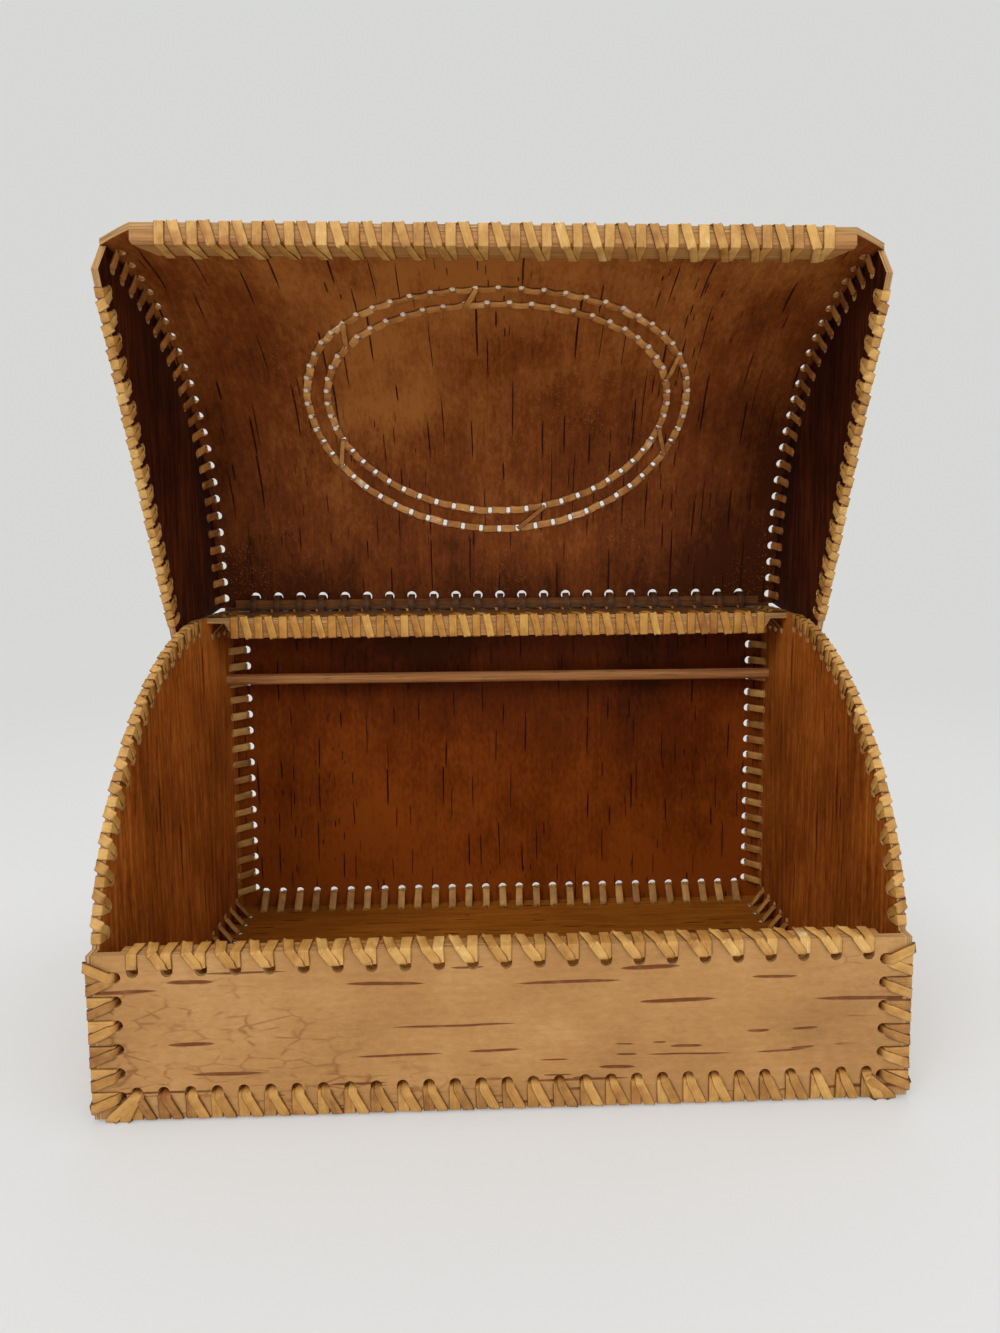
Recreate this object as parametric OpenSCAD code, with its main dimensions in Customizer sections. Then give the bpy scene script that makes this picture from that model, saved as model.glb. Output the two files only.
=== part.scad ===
// Birch bark bread box: a laced bark box with quarter-round sides and a curved
// lid on a laced hinge. Every wall is two sheets of bark, an outer skin and a
// lining, punched along its edges and whip-stitched with strips of bast.
// Units are millimetres. X runs to the right, Y to the back, Z up. The origin
// is under the middle of the floor, and the lid stands open.

/* [Box] */
// Width over the two side panels
box_w = 350; // [300:5:420]
// Depth from the front panel's face to the back panel's face
box_d = 204; // [190:2:240]
// Height of the sides' flat top, level with the shelf
box_h = 200; // [190:2:230]
// Height of the low front panel's top edge
front_h = 74; // [66:1:90]
// Radius of the quarter-round front edge of the sides
side_r = 150; // [135:1:150]

/* [Bark] */
// Thickness of the outer skin of bark
skin_t = 1.6; // [1.2:0.1:2]
// Thickness of the lining of bark
lining_t = 1.6; // [1.2:0.1:2]

/* [Lacing] */
// Width of the bast strip
lace_w = 4.4; // [3.6:0.1:5]
// Thickness of the bast strip
lace_t = 1; // [0.8:0.05:1.1]
// Width of a punched lacing hole
punch_w = 5; // [5:0.1:5.6]
// Distance from a seam's edge to its punched holes
seam_inset = 9.5; // [8.5:0.1:11]
// Distance from an open rim to its punched holes
rim_inset = 5.6; // [5.4:0.1:7]
// Spacing of the stitches along the floor seams
floor_pitch = 11.2; // [10.5:0.1:14]
// Spacing of the stitches up the corner seams
corner_pitch = 10.6; // [10:0.1:14]
// Spacing of the stitches along the front rim, the shelf and the hinge
rim_pitch = 14.2; // [13:0.1:18]
// Spacing of the stitches round the curved rims of the sides
curve_pitch = 11.4; // [11:0.1:15]

/* [Wooden strips] */
// Length of the split laths bound into the rims
lath_l = 324; // [260:2:324]
// Thickness of the split laths
lath_t = 6; // [4:0.5:7]
// Height of the front rim's lath
rim_lath_h = 5; // [4:0.5:5.2]
// Height of the lath under the shelf's front edge
shelf_lath_h = 8.4; // [6:0.2:10]
// Width of the lath along the lid's free edge
lid_lath_w = 14; // [10:0.5:16]
// Diameter of the cross rod
rod_d = 6.7; // [5:0.1:9]
// Distance from the back's face to the rod's middle
rod_from_back = 17; // [14:0.5:24]
// Height of the rod's middle
rod_z = 158; // [130:1:170]

/* [Lid] */
// Room between a side panel's face and the inside of the lid's cheek
cheek_gap = 4; // [4:0.1:6]
// Room between the sides' curve and the inside of the lid's curve
curve_gap = 5; // [5:0.1:7]
// Height of the closed lid's free edge over the front panel's top
lid_edge_gap = 4.2; // [4.2:0.1:6]
// Height of the cheek's rear edge
cheek_rear_h = 76; // [50:1:100]
// Distance from the lid's side edge to its seam's holes in the curved sheet
lid_inset = 4.6; // [4.4:0.1:4.8]
// Distance from the lid's outside to its seam's holes in the cheek
cheek_inset = 9.5; // [8:0.1:10]
// How far the lid's front corners are cut off along its curve
lid_bevel = 16; // [12:0.5:18]
// Spacing of the stitches along the lid's side seams
lid_pitch = 10.6; // [10.5:0.1:14]
// Width of the strip bound inside the lid's rear edge
strip_w = 5; // [4:0.1:5.2]
// Angle by which the lid stands open, measured from closed
open_angle = 82; // [0:1:96]

/* [Hinge] */
// Distance from the back's face forward to the hinge axis
hinge_in = 4.5; // [4.5:0.1:5]
// Height of the hinge axis over the shelf
hinge_up = 3; // [3:0.1:3.2]
// Middle radius of a hinge loop round the axis
loop_r = 6.8; // [6.8:0.05:7]
// How far the lid's rear edge reaches past the axis
lid_tail = 1.4; // [0:0.1:1.4]
// Width of the bast strip in the hinge
hinge_lace_w = 3.4; // [3:0.1:3.6]
// Width of the round holes for the hinge loops in the lid
loop_hole_d = 6; // [6:0.1:6.4]

/* [Oval] */
// Half the width of the oval's outer row of holes
oval_a = 111; // [90:1:122]
// Half the height of the oval's outer row of holes, along the lid's curve
oval_b = 81; // [60:1:84]
// Distance between the oval's two rows of holes
oval_band = 11.5; // [10:0.5:14]
// Number of stitches in the oval's outer row
oval_n = 60; // [40:2:60]
// Number of stitches in the oval's inner row
oval_inner_n = 54; // [36:2:54]
// Thickness of the oval's bark
oval_t = 1.2; // [0.8:0.1:1.6]
// Width of the oval's round holes
oval_hole_d = 4.4; // [4:0.1:4.6]
// Width of the bast strip in the oval
oval_lace_w = 3.4; // [2.6:0.1:3.6]
// How far the oval's bark reaches past its outer row of holes
oval_margin = 5; // [4:0.5:8]
// Distance along the lid from its rear edge to the oval's middle
oval_from_rear = 131; // [125:1:134]

/* [Hidden] */

// Fine gaps: where a strip lies in its hole, between neighbouring strips, and
// between curved faces that lie on each other
hole_slack = 0.2;
strip_gap = 0.15;
curve_slack = 0.3;

wall = skin_t + lining_t;
in_w = box_w - 2 * wall;          // width between the side panels
edge_z = skin_t;                  // underside of the walls, level with the floor's lining
curve_y = side_r + 4;             // middle of the sides' quarter round, from the front
curve_z = box_h - side_r;
shelf_d = box_d - curve_y;
punch_h = 0.88 * punch_w;         // height of a punched hole, flat towards its seam
floor_in = seam_inset + punch_h + 1.5;
floor_spare = seam_inset + 3.5;   // from a seam's end to its first stitch

axis_y = box_d - hinge_in;
axis_z = box_h + hinge_up;
rear_y = axis_y + lid_tail;       // rear edge of the closed lid
lid_r = side_r + curve_gap;       // inside radius of the lid
lid_in_w = box_w + 2 * cheek_gap;
lid_w = lid_in_w + 2 * wall;
lid_edge_z = front_h + lid_edge_gap;
lid_flat = rear_y - curve_y;      // straight stretch of the lid over the shelf
lid_turn = acos((lid_edge_z - curve_z) / lid_r);
lid_len = lid_flat + lid_r * lid_turn * PI / 180;
cheek_front_y = curve_y - lid_r * sin(lid_turn);
cheek_rear_z = curve_z + lid_r - cheek_rear_h;
cheek_slope = atan2(cheek_rear_z - lid_edge_z, rear_y - cheek_front_y);
cheek_edge = norm([cheek_rear_z - lid_edge_z, rear_y - cheek_front_y]);
lid_lath_inset = lid_lath_w + 1.2;
shelf_lath_inset = lath_t + 0.8;
loop_in = loop_r - lace_t / 2;
loop_out = loop_r + lace_t / 2;
loop_hole_s = 5.6 + lid_tail;     // from the lid's rear edge to its loop holes

bark_tan = "burlywood";
bark_red = "saddlebrown";
bast = "goldenrod";
wood = "wheat";

// ---------- Counting stitches ----------

// The same places, counted from the other end
function turned(list) = [for (i = [len(list) - 1:-1:0]) -list[i]];

// Places of the stitches along a seam of length len, centred on it
function places(len, pitch, spare) =
  let (n = floor((len - 2 * spare) / pitch))
  [for (i = [0:n]) (i - n / 2) * pitch];

floor_x = places(box_w, floor_pitch, floor_spare);
floor_y = places(box_d, floor_pitch, floor_spare);
front_z = [for (z = places(front_h - edge_z, corner_pitch, punch_w + wall))
  z + (front_h + edge_z) / 2];
back_z = [for (z = places(box_h - edge_z, corner_pitch, floor_spare)) z + (box_h + edge_z) / 2];
rim_x = places(box_w, rim_pitch, floor_spare + punch_w);
shelf_y = [for (y = places(shelf_d, corner_pitch, 9)) y + (curve_y + box_d) / 2];
curve_a = [for (s = places(side_r * 80 * PI / 180, curve_pitch, 3))
  s / side_r * 180 / PI + 42];
lid_x = places(lath_l, rim_pitch, 6);
lid_s = [for (s = places(lid_len - lid_bevel, lid_pitch, 6)) s + (lid_len - lid_bevel) / 2];
cheek_s = [for (s = places(cheek_edge - lid_bevel, lid_pitch, 8)) s + (cheek_edge + lid_bevel) / 2];

// ---------- Punched holes, in the plane of a sheet ----------

// One hole: flat towards its seam at y = 0, round on the other side
module punch() {
  translate([-punch_w / 2, 0]) square([punch_w, punch_h - punch_w / 2]);
  intersection() {
    translate([0, punch_h - punch_w / 2]) circle(d = punch_w, $fn = 32);
    translate([-punch_w / 2, 0]) square([punch_w, punch_w]);
  }
}

// A row of holes along y = 0 of a sheet, each inset from that edge
module punch_row(at, inset) {
  for (x = at) translate([x, inset]) punch();
}

// ---------- Stitches ----------
// A stitch is drawn at a seam that runs along X. Sheet A stands on the plane
// y = 0 and rises in +Z, sheet B lies on the plane z = 0 and runs in +Y.

// Section in the YZ plane, drawn out along X
module section(w) {
  rotate([90, 0, 90]) linear_extrude(w, center = true) children();
}

// The strip that goes straight round the corner of two sheets of thickness ta
// and tb, through their holes and across the inside of the corner. The holes lie
// inset_a up sheet A and inset_b along sheet B.
module corner_loop(ta, tb, inset_a, inset_b) {
  a = inset_a + hole_slack;
  b = inset_b + hole_slack;
  section(lace_w) difference() {
    polygon([[-lace_t, -lace_t], [-lace_t, a + lace_t], [ta + 0.6 * lace_t, a + lace_t],
      [b + lace_t, tb + 0.6 * lace_t], [b + lace_t, -lace_t]]);
    polygon([[0, 0], [0, a], [ta, a], [b, tb], [b, 0]]);
  }
}

// The strip that goes straight round a rim of thickness t
module plain_loop(t, inset) {
  v = inset + hole_slack;
  section(lace_w) difference() {
    translate([-lace_t, -lace_t]) square([t + 2 * lace_t, v + 2 * lace_t]);
    square([t, v]);
  }
}

// The strip that goes straight round a rim of thickness t, with a lath of
// thickness lt and height h on its inner side
module rim_loop(t, lt, h, inset) {
  v = inset + hole_slack;
  section(lace_w) difference() {
    polygon([[-lace_t, -lace_t], [-lace_t, v + lace_t], [t + 0.6 * lace_t, v + lace_t],
      [t + lt + lace_t, h + 0.6 * lace_t], [t + lt + lace_t, -lace_t]]);
    polygon([[0, 0], [0, v], [t, v], [t + lt, h], [t + lt, 0]]);
  }
}

// The slanting strip on a face: from beside the hole at x = 0, at height v,
// to the edge at height -low. It lies on the XZ plane, on its -Y side.
module slant(pitch, v, low) {
  near = lace_w / 2 + strip_gap;
  far = min(pitch - near, near + lace_w);
  rotate([90, 0, 0]) linear_extrude(lace_t)
    polygon([[near + 2 * strip_gap, v], [far, -low], [near, -low]]);
}

// A slant on sheet A that goes on round the corner of a seam onto sheet B,
// to the next hole
module corner_slant(pitch, inset_a, inset_b) {
  slant(pitch, inset_a + hole_slack + lace_t, lace_t);
  translate([pitch, 0, 0]) mirror([1, 0, 0]) mirror([0, 1, -1])
    slant(pitch, inset_b + hole_slack + lace_t, 0);
}

// A slant that goes on over a rim of thickness t, down its other side
module rim_slant(pitch, t, inset, back) {
  near = lace_w / 2 + strip_gap;
  far = min(pitch - near, near + lace_w);
  slant(pitch, inset + hole_slack + lace_t, 0);
  translate([0, 0, -lace_t]) linear_extrude(lace_t) polygon([[near, -lace_t], [far, -lace_t],
    [pitch - near, t + lace_t], [pitch - far, t + lace_t]]);
  translate([pitch, t, 0]) rotate([0, 0, 180]) slant(pitch, back, 0);
}

// A seam of two sheets: loops at every hole, slants between them
module corner_seam(at, pitch, ta, tb, inset) {
  for (x = at) translate([x, 0, 0]) corner_loop(ta, tb, inset, inset);
  for (i = [0:1:len(at) - 2]) translate([at[i], 0, 0])
    corner_slant(pitch, inset, inset);
}

// ---------- Sheets of the box ----------
// These are drawn with the front at y = 0 and moved to the middle at the end.

module placed() {
  translate([0, -box_d / 2, 0]) children();
}

// A sheet that stands across the box: drawn in the XZ plane, thickness along +Y
module standing(t) {
  translate([0, t, 0]) rotate([90, 0, 0]) linear_extrude(t) children();
}

// Outline and holes of the front panel, its floor seam at y = edge_z
module front_sheet() {
  difference() {
    translate([-in_w / 2, edge_z]) square([in_w, front_h - edge_z]);
    translate([0, edge_z]) punch_row(floor_x, seam_inset);
    translate([0, front_h]) mirror([0, 1]) punch_row(rim_x, rim_inset);
    for (side = [0, 1]) mirror([side, 0])
      translate([-box_w / 2, 0]) rotate(-90) mirror([1, 0]) punch_row(front_z, seam_inset);
  }
}

// Outline and holes of the back panel, which stands under the shelf
module back_sheet() {
  difference() {
    translate([-in_w / 2, edge_z]) square([in_w, box_h - wall - edge_z]);
    translate([0, edge_z]) punch_row(floor_x, seam_inset);
    translate([0, box_h]) mirror([0, 1]) punch_row(rim_x, seam_inset);
    for (side = [0, 1]) mirror([side, 0])
      translate([-box_w / 2, 0]) rotate(-90) mirror([1, 0]) punch_row(back_z, seam_inset);
  }
}

// Outline of a side panel, drawn with its depth along x
module side_outline() {
  translate([0, edge_z]) square([box_d, front_h - edge_z]);
  translate([curve_y, edge_z]) square([shelf_d, box_h - edge_z]);
  intersection() {
    translate([curve_y, curve_z]) circle(side_r, $fn = 180);
    translate([curve_y - side_r, curve_z]) square(side_r);
  }
}

// Outline and holes of a side panel
module side_sheet() {
  difference() {
    side_outline();
    translate([box_d / 2, edge_z]) punch_row(floor_y, seam_inset);
    rotate(-90) mirror([1, 0]) punch_row(front_z, seam_inset);
    translate([box_d, 0]) rotate(90) punch_row(back_z, seam_inset);
    translate([0, box_h]) mirror([0, 1]) punch_row(shelf_y, seam_inset);
    for (a = curve_a) translate([curve_y, curve_z]) rotate(a)
      translate([0, side_r - rim_inset]) mirror([0, 1]) punch();
  }
}

// A side sheet from the inner face at x = 0 outwards to x = t, on the right
module side_panel(t, side) {
  placed() mirror([side < 0 ? 1 : 0, 0, 0]) rotate([90, 0, 90]) linear_extrude(t) children();
}

// The floor's lining, laced to all four walls
module floor_sheet() {
  difference() {
    translate([-in_w / 2, wall]) square([in_w, box_d - 2 * wall]);
    punch_row(floor_x, seam_inset);
    translate([0, box_d]) mirror([0, 1]) punch_row(floor_x, seam_inset);
    for (side = [0, 1]) mirror([side, 0])
      translate([-box_w / 2, box_d / 2]) rotate(-90) punch_row(floor_y, seam_inset);
  }
}

// The shelf over the back of the box, laced to the sides, the back and its lath
module shelf_sheet() {
  difference() {
    translate([-in_w / 2, curve_y]) square([in_w, shelf_d]);
    translate([0, curve_y]) punch_row(rim_x, shelf_lath_inset);
    translate([0, box_d]) mirror([0, 1]) punch_row(rim_x, seam_inset);
    for (side = [0, 1]) mirror([side, 0])
      translate([-box_w / 2, 0]) rotate(-90) mirror([1, 0]) punch_row(shelf_y, seam_inset);
  }
}

module floor_outer() {
  color(bark_tan) placed() translate([-box_w / 2 + floor_in, floor_in, 0])
    cube([box_w - 2 * floor_in, box_d - 2 * floor_in, skin_t]);
}

module floor_lining() {
  color(bark_red) placed() translate([0, 0, edge_z]) linear_extrude(lining_t) floor_sheet();
}

module front_outer() {
  color(bark_tan) placed() standing(skin_t) front_sheet();
}

module front_lining() {
  color(bark_red) placed() translate([0, skin_t, 0]) standing(lining_t) front_sheet();
}

module back_outer() {
  color(bark_tan) placed() translate([0, box_d - skin_t, 0]) standing(skin_t) back_sheet();
}

module back_lining() {
  color(bark_red) placed() translate([0, box_d - wall, 0]) standing(lining_t) back_sheet();
}

module side_outer(side) {
  color(bark_tan) translate([side * (box_w / 2 - skin_t), 0, 0])
    side_panel(skin_t, side) side_sheet();
}

// The side's lining holds the end of the cross rod
module side_lining(side) {
  color(bark_red) translate([side * in_w / 2, 0, 0]) side_panel(lining_t, side)
    difference() {
      side_sheet();
      translate([box_d - rod_from_back, rod_z]) circle(d = rod_d + curve_slack, $fn = 48);
    }
}

module left_side_outer() { side_outer(-1); }
module left_side_lining() { side_lining(-1); }
module right_side_outer() { side_outer(1); }
module right_side_lining() { side_lining(1); }

module shelf_outer() {
  color(bark_tan) placed() translate([0, 0, box_h - skin_t]) linear_extrude(skin_t) shelf_sheet();
}

module shelf_lining() {
  color(bark_red) placed() translate([0, 0, box_h - wall]) linear_extrude(lining_t) shelf_sheet();
}

// ---------- Wooden strips ----------

// A split lath along X with sloping ends, on the plane y = 0, from z = 0 up.
// Its two edges on the free side are taken off.
module lath(h) {
  slope = 0.6 * h;
  soft = min(1.2, h / 4);
  intersection() {
    section(lath_l) polygon([[0, 0], [lath_t - soft, 0], [lath_t, soft], [lath_t, h - soft],
      [lath_t - soft, h], [0, h]]);
    rotate([90, 0, 0]) linear_extrude(4 * lath_t, center = true)
      polygon([[-lath_l / 2, 0], [lath_l / 2, 0], [lath_l / 2 - slope, h], [slope - lath_l / 2, h]]);
  }
}

module front_rim_lath() {
  color(wood) placed() translate([0, wall, front_h]) mirror([0, 0, 1]) lath(rim_lath_h);
}

// The shelf's lath lies under its front edge, its thickness running to the back
module shelf_lath() {
  color(wood) placed() translate([0, curve_y, box_h - wall]) mirror([0, 0, 1]) lath(shelf_lath_h);
}

module cross_rod() {
  color(wood) placed() translate([0, box_d - rod_from_back, rod_z]) rotate([0, 90, 0])
    cylinder(h = in_w + 2 * lining_t - hole_slack, d = rod_d, center = true, $fn = 48);
}

// ---------- Lacing of the box ----------

module front_rim_lacing() {
  color(bast) placed() translate([0, 0, front_h]) mirror([0, 0, 1]) {
    for (x = rim_x) translate([x, 0, 0])
      if (abs(x) < lath_l / 2 - 3) rim_loop(wall, lath_t, rim_lath_h, rim_inset);
      else plain_loop(wall, rim_inset);
    for (i = [0:1:len(rim_x) - 2]) translate([rim_x[i], 0, 0])
      rim_slant(rim_pitch, wall + lath_t, rim_inset, rim_lath_h);
  }
}

module front_floor_lacing() {
  color(bast) placed() translate([0, 0, edge_z])
    corner_seam(floor_x, floor_pitch, wall, lining_t, seam_inset);
}

module back_floor_lacing() {
  color(bast) placed() translate([0, box_d, edge_z]) mirror([0, 1, 0])
    corner_seam(floor_x, floor_pitch, wall, lining_t, seam_inset);
}

module side_floor_lacing(side) {
  color(bast) translate([side * box_w / 2, 0, edge_z]) rotate([0, 0, side * 90])
    corner_seam(floor_y, floor_pitch, wall, lining_t, seam_inset);
}

module left_floor_lacing() { side_floor_lacing(-1); }
module right_floor_lacing() { side_floor_lacing(1); }

// The seam up a corner, drawn at the front on the left
module upright_lacing(at) {
  translate([-box_w / 2, 0, 0]) rotate([0, 90, 0])
    corner_seam(turned(at), corner_pitch, wall, wall, seam_inset);
}

// Turns what is drawn on the left over to the right
module on_side(side) {
  mirror([side > 0 ? 1 : 0, 0, 0]) children();
}

module front_corner_lacing(side) {
  color(bast) placed() on_side(side) upright_lacing(front_z);
}

module back_corner_lacing(side) {
  color(bast) placed() on_side(side) translate([0, box_d, 0]) mirror([0, 1, 0])
    upright_lacing(back_z);
}

module front_left_corner_lacing() { front_corner_lacing(-1); }
module front_right_corner_lacing() { front_corner_lacing(1); }
module back_left_corner_lacing() { back_corner_lacing(-1); }
module back_right_corner_lacing() { back_corner_lacing(1); }

// Turns a stitch to a top edge on the left: along the edge to the front,
// sheet A downwards, sheet B to the right
module top_left_edge() {
  mirror([0, 0, 1]) rotate([0, 0, -90]) children();
}

// The lacing round the curved rim of a side panel
module curve_lacing(side) {
  half_step = curve_pitch / side_r * 90 / PI;
  color(bast) placed() on_side(side) translate([-box_w / 2, curve_y, curve_z]) {
    for (a = curve_a) rotate([a, 0, 0]) translate([0, 0, side_r])
      top_left_edge() plain_loop(wall, rim_inset);
    for (i = [0:1:len(curve_a) - 2]) rotate([curve_a[i] + half_step, 0, 0])
      translate([0, curve_pitch / 2, side_r]) top_left_edge()
        rim_slant(curve_pitch, wall, rim_inset, rim_inset + hole_slack + lace_t);
  }
}

module left_rim_lacing() { curve_lacing(-1); }
module right_rim_lacing() { curve_lacing(1); }

// The lacing along the shelf's front edge, round its lath
module shelf_front_lacing() {
  color(bast) placed() translate([0, curve_y, box_h]) rotate([-90, 0, 0]) {
    for (x = rim_x) translate([x, 0, 0])
      if (abs(x) < lath_l / 2 - 3) rim_loop(wall, shelf_lath_h, lath_t, shelf_lath_inset);
      else plain_loop(wall, shelf_lath_inset);
    for (i = [0:1:len(rim_x) - 2]) translate([rim_x[i], 0, 0])
      rim_slant(rim_pitch, wall + shelf_lath_h, shelf_lath_inset, lath_t);
  }
}

module shelf_side_lacing(side) {
  color(bast) placed() on_side(side) translate([-box_w / 2, 0, box_h]) top_left_edge()
    corner_seam(turned(shelf_y), corner_pitch, wall, wall, seam_inset);
}

module shelf_left_lacing() { shelf_side_lacing(-1); }
module shelf_right_lacing() { shelf_side_lacing(1); }

// ---------- Hinge ----------
// The hinge is the lacing of the shelf's back seam. Each straight strip rises
// from the seam in a loop round the axis and passes through a hole in the lid.

// One loop's outline in the YZ plane, with the axis at the origin
module hinge_loop_outline() {
  side_in = sqrt(pow(loop_in, 2) - pow(hinge_up, 2));
  side_out = sqrt(pow(loop_out, 2) - pow(hinge_up, 2));
  drop = hinge_up + seam_inset + 4 * hole_slack;
  corner = 0.6 * lace_t;
  intersection() {
    difference() {
      circle(loop_out, $fn = 64);
      circle(loop_in, $fn = 64);
    }
    translate([-loop_out, -hinge_up]) square([2 * loop_out, loop_out + hinge_up]);
  }
  difference() {
    polygon([[-side_out, -hinge_up], [-side_out, -hinge_up - wall - corner],
      [hinge_in - wall - corner / 2, -drop - lace_t], [hinge_in + lace_t, -drop - lace_t],
      [side_out, -hinge_up]]);
    polygon([[-side_in, -hinge_up], [-side_in, -hinge_up - wall - hole_slack],
      [hinge_in - wall + hole_slack, -drop], [hinge_in, -drop], [side_in, -hinge_up]]);
  }
}

module hinge_lacing() {
  color(bast) placed() {
    for (x = rim_x) translate([x, axis_y, axis_z]) section(hinge_lace_w) hinge_loop_outline();
    translate([0, box_d, box_h]) mirror([0, 1, 0]) mirror([0, 0, 1])
      for (i = [0:1:len(rim_x) - 2]) translate([rim_x[i], 0, 0])
        corner_slant(rim_pitch, seam_inset, seam_inset);
  }
}

// ---------- Lid ----------
// The lid is drawn closed and then turned open about the hinge axis.

module opened() {
  placed() translate([0, axis_y, axis_z]) rotate([-open_angle, 0, 0])
    translate([0, -axis_y, -axis_z]) children();
}

// Moves children to the lid's inner face, s along it from the rear edge:
// X to the right, Y to the rear, Z outwards
module on_lid(s) {
  if (s < lid_flat) translate([0, rear_y - s, curve_z + lid_r]) children();
  else translate([0, curve_y, curve_z]) rotate([(s - lid_flat) / lid_r * 180 / PI, 0, 0])
    translate([0, 0, lid_r]) children();
}

// Section of a layer of the lid, of thickness t outside the radius r
module lid_layer(r, t) {
  reach = 2 * r;
  intersection() {
    translate([curve_y, curve_z]) difference() {
      circle(r + t, $fn = 180);
      circle(r, $fn = 180);
    }
    polygon([[curve_y, curve_z],
      [curve_y - reach * sin(lid_turn), curve_z + reach * cos(lid_turn)],
      [curve_y - reach, curve_z + reach], [curve_y, curve_z + reach]]);
  }
  translate([curve_y, curve_z + r]) square([lid_flat, t]);
}

// One place on the oval row with half axes a and b: across, and along the lid
function oval_at(a, b, n, i) =
  [a * cos(360 * i / n), oval_from_rear + b * sin(360 * i / n)];

module oval_holes() {
  deep = 6 * wall;
  for (i = [0:oval_n - 1]) {
    p = oval_at(oval_a, oval_b, oval_n, i);
    on_lid(p[1]) translate([p[0], 0, 0]) cylinder(h = deep, d = oval_hole_d, center = true, $fn = 32);
  }
  for (i = [0:oval_inner_n - 1]) {
    p = oval_at(oval_a - oval_band, oval_b - oval_band, oval_inner_n, i);
    on_lid(p[1]) translate([p[0], 0, 0]) cylinder(h = deep, d = oval_hole_d, center = true, $fn = 32);
  }
}

// The holes along the lid's four edges
module lid_edge_holes() {
  deep = 4 * wall;
  for (s = lid_s) on_lid(s) for (side = [-1, 1]) on_side(side)
    translate([lid_inset - lid_w / 2, 0, 0]) rotate([0, 0, -90])
      linear_extrude(deep, center = true) punch();
  for (x = lid_x) on_lid(lid_len - lid_lath_inset) translate([x, 0, 0])
    linear_extrude(deep, center = true) punch();
  for (x = rim_x) on_lid(loop_hole_s) translate([x, 0, 0])
    cylinder(h = deep, d = loop_hole_d, center = true, $fn = 32);
}

// What is cut off the lid's front corner on the left, laid flat: the free edge
// runs along y = 0, from the end of its lath to the side
module lid_corner() {
  corner = [-lid_w / 2, 0];
  on_edge = [-lath_l / 2, 0];
  on_side = corner + [0, lid_bevel];
  cut = on_side - on_edge;
  polygon([on_side + cut, on_edge - cut, 3 * corner - on_edge - on_side]);
}

module lid_sheet(r, t) {
  opened() difference() {
    rotate([90, 0, 90]) linear_extrude(lid_w, center = true) lid_layer(r, t);
    lid_edge_holes();
    oval_holes();
    for (side = [-1, 1]) on_side(side) on_lid(lid_len) linear_extrude(8 * wall, center = true)
      lid_corner();
  }
}

module lid_outer() {
  color(bark_tan) lid_sheet(lid_r + lining_t, skin_t);
}

module lid_lining() {
  color(bark_red) lid_sheet(lid_r, lining_t);
}

// The oval of bark on the lid's outside
module lid_oval() {
  steps = 72;
  a = oval_a + oval_margin;
  b = (oval_b + oval_margin) * 180 / PI / lid_r;
  color(bark_tan) opened() difference() {
    intersection() {
      rotate([90, 0, 90]) linear_extrude(lid_w, center = true)
        lid_layer(lid_r + wall + curve_slack, oval_t);
      on_lid(oval_from_rear) translate([0, 0, -lid_r / 5]) linear_extrude(lid_r / 4)
        polygon([for (i = [0:steps - 1])
          [a * cos(360 * i / steps), lid_r * sin(b * sin(360 * i / steps))]]);
    }
    oval_holes();
  }
}

// What is cut off a cheek's front corner, as far along its curve as along its rim
module cheek_corner() {
  turn = lid_turn - lid_bevel / lid_r * 180 / PI;
  tip = [cheek_front_y, lid_edge_z];
  on_curve = [curve_y - lid_r * sin(turn), curve_z + lid_r * cos(turn)];
  on_rim = tip + lid_bevel * [cos(cheek_slope), sin(cheek_slope)];
  cut = on_curve - on_rim;
  polygon([on_curve + cut, on_rim - cut, 3 * tip - on_curve - on_rim]);
}

// A cheek in the YZ plane: under the lid's curve, over its sloping free edge
module cheek_sheet() {
  reach = lid_r - curve_slack;
  difference() {
    intersection() {
      union() {
        translate([curve_y, curve_z]) circle(reach, $fn = 180);
        translate([curve_y, curve_z]) square([lid_flat, reach]);
      }
      polygon([[cheek_front_y, lid_edge_z], [rear_y, cheek_rear_z], [rear_y, curve_z + lid_r],
        [curve_y - lid_r, curve_z + lid_r], [curve_y - lid_r, lid_edge_z]]);
    }
    for (s = lid_s)
      if (s < lid_flat) translate([rear_y - s, curve_z + lid_r + wall - cheek_inset])
        mirror([0, 1]) punch();
      else translate([curve_y, curve_z]) rotate((s - lid_flat) / lid_r * 180 / PI)
        translate([0, lid_r + wall - cheek_inset]) mirror([0, 1]) punch();
    cheek_corner();
    translate([cheek_front_y, lid_edge_z]) rotate(cheek_slope) punch_row(cheek_s, rim_inset);
  }
}

// A layer of a cheek, of thickness t, outwards from the distance x
module cheek_layer(side, x, t) {
  opened() on_side(-side) translate([x, 0, 0]) rotate([90, 0, 90]) linear_extrude(t)
    cheek_sheet();
}

module cheek_outer(side) {
  color(bark_tan) cheek_layer(side, lid_in_w / 2 + lining_t, skin_t);
}

module cheek_lining(side) {
  color(bark_red) cheek_layer(side, lid_in_w / 2, lining_t);
}

module lid_left_cheek_outer() { cheek_outer(-1); }
module lid_left_cheek_lining() { cheek_lining(-1); }
module lid_right_cheek_outer() { cheek_outer(1); }
module lid_right_cheek_lining() { cheek_lining(1); }

// The lid's free edge, laid flat: the rim at z = 0, the thickness inwards
module lid_rim() {
  on_lid(lid_len - lid_lath_w / 2) translate([0, -lid_lath_w / 2 - hole_slack, wall])
    rotate([-90, 0, 0]) children();
}

module lid_front_lath() {
  color(wood) opened() lid_rim() translate([0, wall + curve_slack, 0]) lath(lid_lath_w);
}

module lid_rear_strip() {
  color(wood) opened()
    translate([3 - in_w / 2, rear_y - hole_slack - strip_w, curve_z + lid_r - lining_t])
      cube([in_w - 6, strip_w, lining_t]);
}

// ---------- Lacing of the lid ----------

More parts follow.
